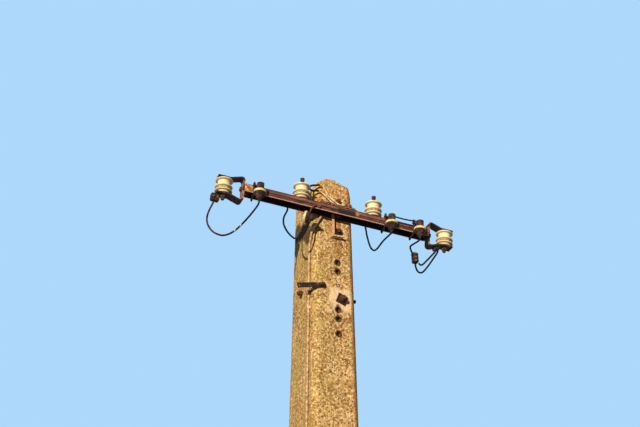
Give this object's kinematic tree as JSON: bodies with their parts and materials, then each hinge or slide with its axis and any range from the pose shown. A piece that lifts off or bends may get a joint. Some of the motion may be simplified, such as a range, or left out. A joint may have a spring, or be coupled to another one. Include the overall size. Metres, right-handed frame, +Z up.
{
  "type": "reinforced-concrete distribution pole with crossarm",
  "caption": "Tapered rectangular reinforced-concrete utility pole with a chamfered shaft, a steel channel crossarm, porcelain spool insulators, small surge arresters and jumper leads.",
  "frame": {"origin": "centre of the pole's foot at ground level", "axes": "+Z up the pole, +X along the crossarm to the right seen from its side, the arm on the -Y face"},
  "size_m": [1.2679, 0.6888, 7.395],
  "materials": {
    "weathered_concrete": "rough, exposed aggregate",
    "glazed_porcelain": "glossy glaze",
    "arrester_porcelain": "dusty glaze",
    "rusty_cast_iron": "rusted, matt",
    "rusty_rolled_steel": "rusted, matt",
    "rusty_fastener_steel": "rusted, matt",
    "pale_galvanised_steel": "dull, rust-stained zinc",
    "insulated_lead": "matt black covering",
    "bare_aluminium_lead": "weathered, dull",
    "binding_wire": "dull"
  },
  "bodies": {
    "root": {"pole_shaft": "weathered_concrete", "crossarm": "rusty_rolled_steel", "crossarm_bolt": "rusty_fastener_steel", "rear_plate": "rusty_rolled_steel", "saddle_plate": "rusty_rolled_steel", "saddle_bolts": "rusty_fastener_steel", "left_stirrup": "rusty_rolled_steel", "right_stirrup": "rusty_rolled_steel", "stirrup_bolts": "rusty_fastener_steel", "left_end_insulator": "glazed_porcelain", "left_inner_insulator": "glazed_porcelain", "right_inner_insulator": "glazed_porcelain", "right_end_insulator": "glazed_porcelain", "left_end_spindle": "rusty_fastener_steel", "left_inner_spindle": "rusty_fastener_steel", "right_inner_spindle": "rusty_fastener_steel", "right_end_spindle": "rusty_fastener_steel", "tie_wires": "binding_wire", "arrester_1_body": "arrester_porcelain", "arrester_2_body": "arrester_porcelain", "arrester_3_body": "arrester_porcelain", "arrester_4_body": "arrester_porcelain", "arrester_1_cup": "rusty_cast_iron", "arrester_2_cup": "rusty_cast_iron", "arrester_3_cup": "rusty_cast_iron", "arrester_4_cup": "rusty_cast_iron", "arrester_1_bracket": "rusty_fastener_steel", "arrester_2_bracket": "rusty_fastener_steel", "arrester_3_bracket": "rusty_fastener_steel", "arrester_4_hook": "rusty_fastener_steel", "bond_wire": "rusty_fastener_steel", "face_bolt": "rusty_fastener_steel", "hanger_rod": "pale_galvanised_steel", "shoe": "rusty_fastener_steel", "shoe_bolt": "rusty_fastener_steel", "tie_bolt": "rusty_fastener_steel", "tie_plates": "rusty_fastener_steel", "service_bracket": "rusty_fastener_steel", "side_bolt": "rusty_fastener_steel", "left_line_clamp": "rusty_fastener_steel", "right_line_clamp": "rusty_fastener_steel", "groove_clamp": "rusty_fastener_steel", "left_jumper": "insulated_lead", "left_inner_jumper": "insulated_lead", "right_inner_jumper": "insulated_lead", "right_jumper": "insulated_lead", "right_short_jumper": "insulated_lead", "top_lead": "bare_aluminium_lead", "earth_lead": "bare_aluminium_lead", "earth_clips": "pale_galvanised_steel"}
  },
  "joints": []
}
